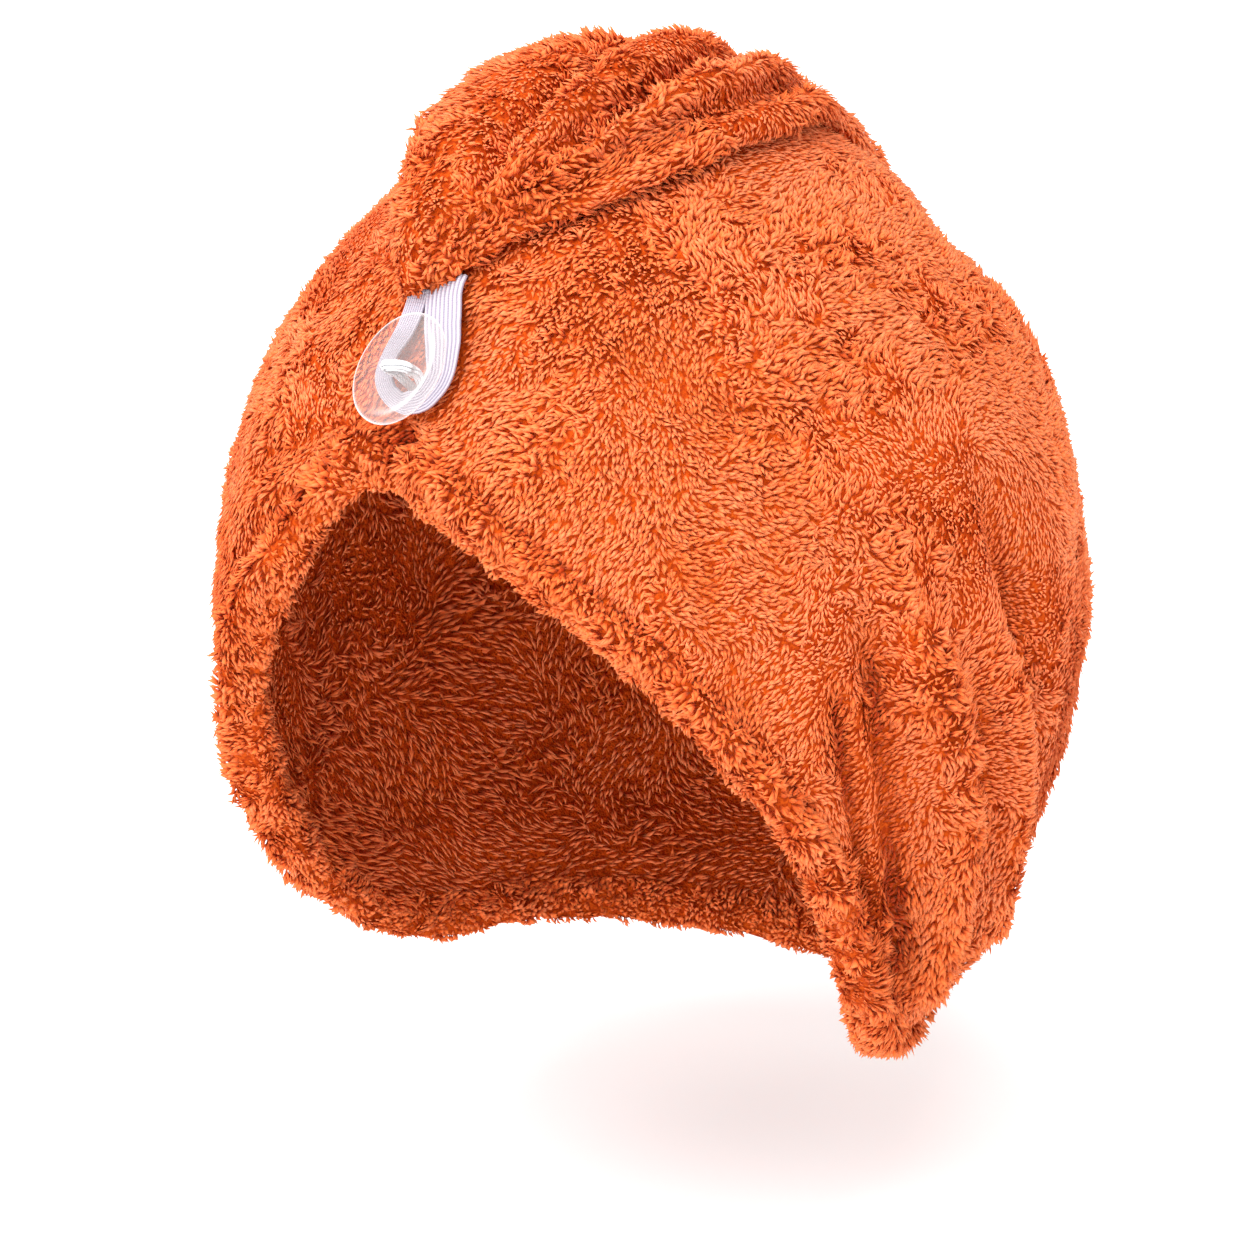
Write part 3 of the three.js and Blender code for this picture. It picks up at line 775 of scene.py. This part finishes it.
def grow_hood_pile(mesh, values, pile):
    points, ups, (away, ridge, crease) = scatter(mesh, HOOD_SPACING, values, seed=11)
    keep = (outward_share(points, ups) > INNER_SIDE) | (away < RIM)
    keep[keep] = uncovered(points[keep], ups[keep], ["tail"], ROOM_UNDER_TAIL)
    keep[keep] = uncovered(points[keep], ups[keep], ["loop", "button_thread"], ROOM_UNDER_BAND)
    points, ups, away, ridge, crease = points[keep], ups[keep], away[keep], ridge[keep], crease[keep]
    ruffle = ruffle_at(points, HOOD_RUFFLE, HOOD_RUFFLE_SIZE, seed=31) + RIDGE_RUFFLE * ridge
    ruffle = np.maximum(ruffle, np.clip(HEM_RUFFLE_REACH - away / HEM_WIDTH, 0, 1))
    longer = np.clip(RIM_LENGTH + RIM_GROWTH * away / RIM_STRETCH, LEAST_LENGTH, 1)
    grow_pile("hood_pile", points, ups, np.clip(ruffle, 0, 1), crease, longer, pile, seed=100)


def grow_lining_pile(mesh, values, pile):
    points, ups, (away, _, _) = scatter(mesh, LINING_SPACING, values, seed=12)
    inner = (outward_share(points, ups) <= INNER_SIDE) & (away >= RIM)
    points, ups = points[inner], ups[inner]
    ruffle = np.clip(ruffle_at(points, HOOD_RUFFLE, HOOD_RUFFLE_SIZE, seed=32), 0, 1)
    grow_pile("hood_lining_pile", points, ups, ruffle, 0 * ruffle, LINING_LENGTH, pile, seed=200)


def grow_tail_pile(mesh, values, pile):
    points, ups, (outward,) = scatter(mesh, TAIL_SPACING, values, seed=13)
    keep = uncovered(points, ups, ["hood"], ROOM_OVER_HOOD)
    keep[keep] = uncovered(points[keep], ups[keep], ["loop"], ROOM_UNDER_BAND)
    points, ups, outward = points[keep], ups[keep], outward[keep]
    # Painted shade on the tufts in the tail's creases, on its outer face only
    crease = TAIL_CREASE_SHADE * tail_crease(points) * outward
    ruffle = np.clip(ruffle_at(points, TAIL_RUFFLE, TAIL_RUFFLE_SIZE, seed=33), 0, 1)
    grow_pile("tail_pile", points, ups, ruffle, crease, 1, pile, seed=300)


# Loop, button and thread


def on_hood(tree, turn, across, lift):
    """The place over the hood at a turn back from the crown and a distance to the wearer's left."""
    way = Vector(hood_way(turn, across / MM))
    place = tree.ray_cast(Vector(HOOD_CENTRE) + way * 2 * MEAN_RADIUS, -way)[0]
    return place + way * lift


def skin(name, rings):
    """A closed mesh over rings of points, with a cap at each end, and a map across and along it."""
    rings = np.array(rings)
    count, around = rings.shape[:2]
    faces, shares = [], []
    for row in range(count - 1):
        here, ahead = row * around, (row + 1) * around
        for side in range(around):
            after = (side + 1) % around
            faces.append((here + side, ahead + side, ahead + after, here + after))
            for line, column in ((row, side), (row + 1, side), (row + 1, side + 1), (row, side + 1)):
                shares.append((column / around, line / (count - 1)))
    for row, turn in ((0, 1), (count - 1, -1)):
        faces.append([row * around + side for side in range(around)][::turn])
        shares += [(side / around * CAP_MAP, row / (count - 1)) for side in range(around)][::turn]
    mesh = bpy.data.meshes.new(name)
    mesh.from_pydata(rings.reshape(-1, 3).tolist(), [], faces)
    mesh.uv_layers.new(name="OFBake").data.foreach_set("uv", np.array(shares).ravel())
    mesh.shade_smooth()
    return mesh


def add_piece(name, mesh, material, node):
    """A piece of the towel with its finish, in place of a CAD node if it has one."""
    piece = add_object(name, mesh)
    mesh.materials.append(material)
    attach(piece, "root")
    if node:
        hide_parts(node)


def band_outline():
    """The band's section, across and through it from -1 to 1: ribs on both faces, and rounded edges."""
    top = np.linspace(-1, 1, BAND_RIBS * RIB_STEPS + 1)
    rounding = (1 - np.abs(top) ** SELVEDGE_ROUNDING) ** 0.5
    ribs = rounding * (1 - RIB_DEPTH * np.cos(math.pi * BAND_RIBS * (top + 1) / 2) ** 2)
    return list(zip(top, ribs)) + list(zip(top[-2:0:-1], -ribs[-2:0:-1]))


def make_loop(tree):
    """The ribbed elastic, from under the tail round the button and back."""
    places, normals, rows = [], [], []
    for step in range(BAND_STATIONS + 1):
        row = read_rows(BAND, step / BAND_STATIONS * (len(BAND) - 1))
        turn, across, width, roll = row
        lift = BAND_GAP + BAND_THICKNESS / 2 + math.sin(math.radians(roll)) * width * MM / 2
        places.append(on_hood(tree, turn, across * MM, lift))
        ahead, behind = [on_hood(tree, turn + side * SLOPE_AHEAD, across * MM, 0) for side in (1, -1)]
        left, right = [on_hood(tree, turn, (across + side * SLOPE_ASIDE) * MM, 0) for side in (1, -1)]
        normals.append((left - right).cross(ahead - behind).normalized())
        rows.append(row)
    outline = band_outline()
    rings = []
    for index, (place, normal, (_, _, width, roll)) in enumerate(zip(places, normals, rows)):
        along = (places[min(index + 1, BAND_STATIONS)] - places[max(index - 1, 0)]).normalized()
        wide = Matrix.Rotation(-math.radians(roll), 3, along) @ normal.cross(along).normalized()
        thick = along.cross(wide).normalized()
        rings.append([place + wide * (across * width * MM / 2) + thick * (through * BAND_THICKNESS / 2)
                      for across, through in outline])
    add_piece("elastic_loop", skin("elastic_loop", rings), woven_elastic(), "loop")


def button_frame(tree):
    """The button's place and axes: hole line, width and face."""
    face = Vector(BUTTON_FACING).normalized()
    line = Vector(BUTTON_HOLE_LINE)
    line = (line - face * line.dot(face)).normalized()
    turn, across, lift = BUTTON_SEAT
    seat = on_hood(tree, turn, across * MM, lift * MM)
    axes = Matrix((line, face.cross(line), face)).transposed()
    return Matrix.Translation(seat) @ axes.to_4x4()


def rounded_line(points, rounds):
    """Cuts the corners of a line of points, keeping its two ends."""
    points = np.array(points, float)
    for _ in range(rounds):
        starts, ends = points[:-1], points[1:]
        inner = np.stack((starts * 0.75 + ends * 0.25, starts * 0.25 + ends * 0.75), axis=1)
        points = np.vstack((points[:1], inner.reshape(-1, 2), points[-1:]))
    return points


def turned(name, profile, sides):
    """A closed mesh turned about the Z axis from a profile that starts and ends on it."""
    places = [(0, 0, profile[0][1])]
    for radius, height in profile[1:-1]:
        for side in range(sides):
            angle = 2 * math.pi * side / sides
            places.append((radius * math.cos(angle), radius * math.sin(angle), height))
    places.append((0, 0, profile[-1][1]))
    last = len(places) - 1
    faces = [(0, 1 + (side + 1) % sides, 1 + side) for side in range(sides)]
    for row in range(len(profile) - 3):
        low = 1 + row * sides
        high = low + sides
        for side in range(sides):
            after = (side + 1) % sides
            faces.append((low + side, low + after, high + after, high + side))
    faces += [(last, last - sides + side, last - sides + (side + 1) % sides) for side in range(sides)]
    mesh = bpy.data.meshes.new(name)
    mesh.from_pydata(places, [], faces)
    return mesh


def make_button(place):
    """The clear dished button, with its two holes cut through."""
    profile = rounded_line(BUTTON_PROFILE, 2) * MM
    button = add_object("clear_button", turned("clear_button", profile, BUTTON_SIDES))
    bore = ((0, -DRILL_REACH), (HOLE_RADIUS, -DRILL_REACH), (HOLE_RADIUS, DRILL_REACH), (0, DRILL_REACH))
    drills = []
    for side in (-1, 1):
        drill = add_object("drill", turned("drill", np.array(bore) * MM, HOLE_SIDES))
        drill.location.x = side * HOLE_SPACING / 2 * MM
        cut = button.modifiers.new("hole", "BOOLEAN")
        cut.operation = "DIFFERENCE"
        cut.solver = "EXACT"
        cut.object = drill
        drills.append(drill)
    bpy.context.view_layer.update()
    mesh = finished_mesh(button)
    for used in (*drills, button):
        bpy.data.objects.remove(used)
    mesh.name = "clear_button"
    mesh.transform(place)
    mesh.shade_smooth()
    mesh.set_sharp_from_angle(angle=BUTTON_EDGE)
    add_piece("clear_button", mesh, clear_acrylic(), "button")


def thread_line(tree, place):
    """The bundle's middle line: up through one hole, over and down through the other."""
    near = HOLE_SPACING / 2
    back, face = -BUTTON_THICKNESS / 2, BUTTON_THICKNESS / 2 - BUTTON_DISH

    def in_button(across, height):
        return place @ Vector((across * MM, 0, height * MM))

    def leg(side):
        foot = on_hood(tree, FEET_TURN, (FEET_ACROSS + side * FEET_SPACING / 2) * MM, -FEET_DEPTH)
        heights = (back - THREAD_BELOW, 0, face + THREAD_ABOVE)
        return [foot] + [in_button(side * near, height) for height in heights]

    crest = [in_button(side * near * CREST_SHARE, face + THREAD_CREST) for side in (-1, 1)]
    rows = [tuple(point) for point in leg(-1) + crest + leg(1)[::-1]]
    stations = np.arange(THREAD_STATIONS + 1) / THREAD_STATIONS * (len(rows) - 1)
    return [Vector(read_rows(rows, at)) for at in stations]


def strand_mesh(path, across, strand):
    """One of the strands that twist round the bundle's middle line. The last runs along its middle."""
    rings = []
    for index, point in enumerate(path):
        along = (path[min(index + 1, THREAD_STATIONS)] - path[max(index - 1, 0)]).normalized()
        over = across.cross(along)
        share = index / THREAD_STATIONS
        angle = 2 * math.pi * (strand / (STRANDS - 1) + BUNDLE_TWIST * share)
        away = BUNDLE_RADIUS * (1 + BUNDLE_SWELL * math.sin(math.pi * share))
        if strand == STRANDS - 1:
            away = 0
        centre = point + (across * math.cos(angle) + over * math.sin(angle)) * away
        rings.append([centre + (across * math.cos(turn) + over * math.sin(turn)) * STRAND_RADIUS
                      for turn in np.arange(STRAND_SIDES) * 2 * math.pi / STRAND_SIDES])
    return skin("strand", rings)


def sew_button(tree, place):
    """The bundle of strands that sews the button on, as one piece."""
    path = thread_line(tree, place)
    across = place.to_3x3() @ Vector((0, 1, 0))
    strands = [add_object("strand", strand_mesh(path, across, strand)) for strand in range(STRANDS)]
    bpy.context.view_layer.update()
    with bpy.context.temp_override(active_object=strands[0], selected_editable_objects=strands):
        bpy.ops.object.join()
    mesh = strands[0].data.copy()
    bpy.data.objects.remove(strands[0])
    mesh.name = "sewing_thread"
    add_piece("sewing_thread", mesh, cotton_thread(), "button_thread")


def make_fastening():
    tree = tree_of("hood")
    make_loop(tree)
    place = button_frame(tree)
    make_button(place)
    sew_button(tree, place)


# Materials


def terry_pile():
    """Microfibre terry tufts: matt, darker and more saturated at the root as painted shade and painted
    bounced light between the tufts, paler at the tip, and darker by tone in creases as painted shade.
    """
    material, tree, surface = new_material("microfibre_terry_pile")
    coords = add_node(tree, "ShaderNodeUVMap", {"uv_map": "OFBake"})
    split = add_node(tree, "ShaderNodeSeparateXYZ", inputs={"Vector": coords.outputs[0]})
    ramps = []
    # Ramps by tone, from a crease's painted shade through plain to pale: the first for the roots, darker
    # and more saturated as painted shade; the second for the tips
    for crease_shaded, plain, pale in (("#942400", "#D64E0A", "#EA6624"), ("#B43606", "#F97B3C", "#FF9363")):
        ramp = add_node(tree, "ShaderNodeValToRGB", inputs={"Fac": split.outputs["X"]})
        ramp.color_ramp.elements[0].color = linear(crease_shaded)
        ramp.color_ramp.elements[1].color = linear(pale)
        ramp.color_ramp.elements.new(0.4).color = linear(plain)
        ramps.append(ramp.outputs["Color"])
    # From root to tip over 0.15 to 0.8 of the tuft's height, so that the painted shade lies low on each
    # tuft
    share = add_node(tree, "ShaderNodeMapRange",
                     inputs={"Value": split.outputs["Y"], "From Min": 0.15, "From Max": 0.8})
    mix = add_node(tree, "ShaderNodeMix", {"data_type": "RGBA"},
                   {0: share.outputs[0], 6: ramps[0], 7: ramps[1]})
    tree.links.new(mix.outputs[2], surface.inputs["Base Color"])
    surface.inputs["Roughness"].default_value = 0.8
    surface.inputs["Specular IOR Level"].default_value = 0.15
    surface.inputs["Sheen Weight"].default_value = 0.15
    surface.inputs["Sheen Roughness"].default_value = 0.4
    surface.inputs["Sheen Tint"].default_value = linear("#FFB182")
    return material


def terry_ground():
    """Knitted ground cloth: short loops 0.9 mm wide, coloured as deep as the roots of the tufts, darker
    than the cloth's own orange as painted shade between the tufts.
    """
    material, tree, surface = new_material("terry_ground_knit_painted_shade")
    place = add_node(tree, "ShaderNodeTexCoord").outputs["Object"]
    loops = add_node(tree, "ShaderNodeTexNoise",
                     inputs={"Vector": place, "Scale": 1 / (0.9 * MM), "Detail": 1})
    ramp = add_node(tree, "ShaderNodeValToRGB", inputs={"Fac": loops.outputs[0]})
    # Both colours are painted shade: the ground shows only in the shadow between the tufts
    ramp.color_ramp.elements[0].position = 0.38
    ramp.color_ramp.elements[0].color = linear("#9E3204")
    ramp.color_ramp.elements[1].position = 0.62
    ramp.color_ramp.elements[1].color = linear("#C44C0C")
    bump = add_node(tree, "ShaderNodeBump", inputs={"Height": loops.outputs[0], "Distance": 0.8 * MM})
    tree.links.new(ramp.outputs["Color"], surface.inputs["Base Color"])
    tree.links.new(bump.outputs["Normal"], surface.inputs["Normal"])
    surface.inputs["Roughness"].default_value = 0.9
    surface.inputs["Specular IOR Level"].default_value = 0.1
    return material


def woven_elastic():
    """White woven elastic: pale ribs with darker grey-lilac grooves and a band greyer than white, both as
    painted shade, and fine cross yarns.
    """
    material, tree, surface = new_material("woven_elastic")
    coords = add_node(tree, "ShaderNodeUVMap", {"uv_map": "OFBake"})
    split = add_node(tree, "ShaderNodeSeparateXYZ", inputs={"Vector": coords.outputs[0]})
    waves = []
    for side, turns in (("X", 4 * math.pi * BAND_RIBS), ("Y", 2 * math.pi * BAND_YARNS)):
        phase = add_node(tree, "ShaderNodeMath", {"operation": "MULTIPLY"},
                         {0: split.outputs[side], 1: turns})
        waves.append(add_node(tree, "ShaderNodeMath", {"operation": "COSINE"}, {0: phase.outputs[0]}))
    groove_shade = add_node(tree, "ShaderNodeMapRange",
                      inputs={"Value": waves[0].outputs[0], "From Min": -0.6, "From Max": 1})
    # Painted shade: the grooves between the ribs are darker, and the ribs are greyer than white
    ramp = add_node(tree, "ShaderNodeValToRGB", inputs={"Fac": groove_shade.outputs[0]})
    ramp.color_ramp.elements[0].color = linear("#CBC4CE")
    ramp.color_ramp.elements[1].color = linear("#988EA2")
    bump = add_node(tree, "ShaderNodeBump", inputs={"Height": waves[1].outputs[0], "Distance": 0.04 * MM})
    tree.links.new(ramp.outputs["Color"], surface.inputs["Base Color"])
    tree.links.new(bump.outputs["Normal"], surface.inputs["Normal"])
    surface.inputs["Roughness"].default_value = 0.6
    return material


def clear_acrylic():
    """Moulded clear acrylic, hazed by wear in 3 mm patches: cloth shows through a face greyed as painted
    shade, and rims are painted bright white and more opaque as a painted highlight.
    """
    material, tree, surface = new_material("clear_acrylic")
    place = add_node(tree, "ShaderNodeTexCoord").outputs["Object"]
    haze = add_node(tree, "ShaderNodeTexNoise",
                    inputs={"Vector": place, "Scale": 1 / (3 * MM), "Detail": 3})
    rough = add_node(tree, "ShaderNodeMapRange",
                     inputs={"Value": haze.outputs[0], "To Min": 0.05, "To Max": 0.2})
    # Painted highlight at the rims, seen edge on: white and more opaque; painted shade on the face: greyed
    rim = add_node(tree, "ShaderNodeLayerWeight", inputs={"Blend": 0.5})
    veil = add_node(tree, "ShaderNodeMapRange",
                    inputs={"Value": rim.outputs["Facing"], "From Min": 0.35, "From Max": 0.9,
                            "To Min": 0.13, "To Max": 0.8})
    rim_highlight_and_face_shade = add_node(tree, "ShaderNodeValToRGB", inputs={"Fac": rim.outputs["Facing"]})
    rim_highlight_and_face_shade.color_ramp.elements[0].position = 0.4
    rim_highlight_and_face_shade.color_ramp.elements[0].color = linear("#B9B0AE")
    rim_highlight_and_face_shade.color_ramp.elements[1].position = 0.75
    rim_highlight_and_face_shade.color_ramp.elements[1].color = linear("#FFFFFF")
    tree.links.new(rim_highlight_and_face_shade.outputs["Color"], surface.inputs["Base Color"])
    tree.links.new(rough.outputs[0], surface.inputs["Roughness"])
    tree.links.new(veil.outputs[0], surface.inputs["Alpha"])
    surface.inputs["IOR"].default_value = 1.49
    surface.inputs["Specular IOR Level"].default_value = 0.8
    return material


def cotton_thread():
    """White sewing thread: a matt yarn whose twist repeats about every 0.4 mm, darker in the twist's
    grooves as painted shade.
    """
    material, tree, surface = new_material("cotton_sewing_thread")
    coords = add_node(tree, "ShaderNodeUVMap", {"uv_map": "OFBake"})
    twist = add_node(tree, "ShaderNodeVectorMath", {"operation": "DOT_PRODUCT"},
                     {0: coords.outputs[0], 1: (4 * math.pi, 2 * math.pi * STRAND_TURNS, 0)})
    wave = add_node(tree, "ShaderNodeMath", {"operation": "SINE"}, {0: twist.outputs["Value"]})
    # Painted shade: the twist's grooves, low in the bump, are darker
    ramp = add_node(tree, "ShaderNodeValToRGB", inputs={"Fac": wave.outputs[0]})
    ramp.color_ramp.elements[0].color = linear("#DCDCE0")
    ramp.color_ramp.elements[1].color = linear("#FAFAFA")
    bump = add_node(tree, "ShaderNodeBump", inputs={"Height": wave.outputs[0], "Distance": 0.05 * MM})
    tree.links.new(ramp.outputs["Color"], surface.inputs["Base Color"])
    tree.links.new(bump.outputs["Normal"], surface.inputs["Normal"])
    surface.inputs["Roughness"].default_value = 0.7
    return material


def make_cloth():
    pile, ground = terry_pile(), terry_ground()
    hood, hood_values = make_hood_cloth(ground)
    grow_hood_pile(hood, hood_values, pile)
    grow_lining_pile(hood, hood_values, pile)
    tail, tail_values = make_tail_cloth(ground)
    grow_tail_pile(tail, tail_values, pile)


place_camera()
lay_floor()
light_studio()
make_cloth()
make_fastening()
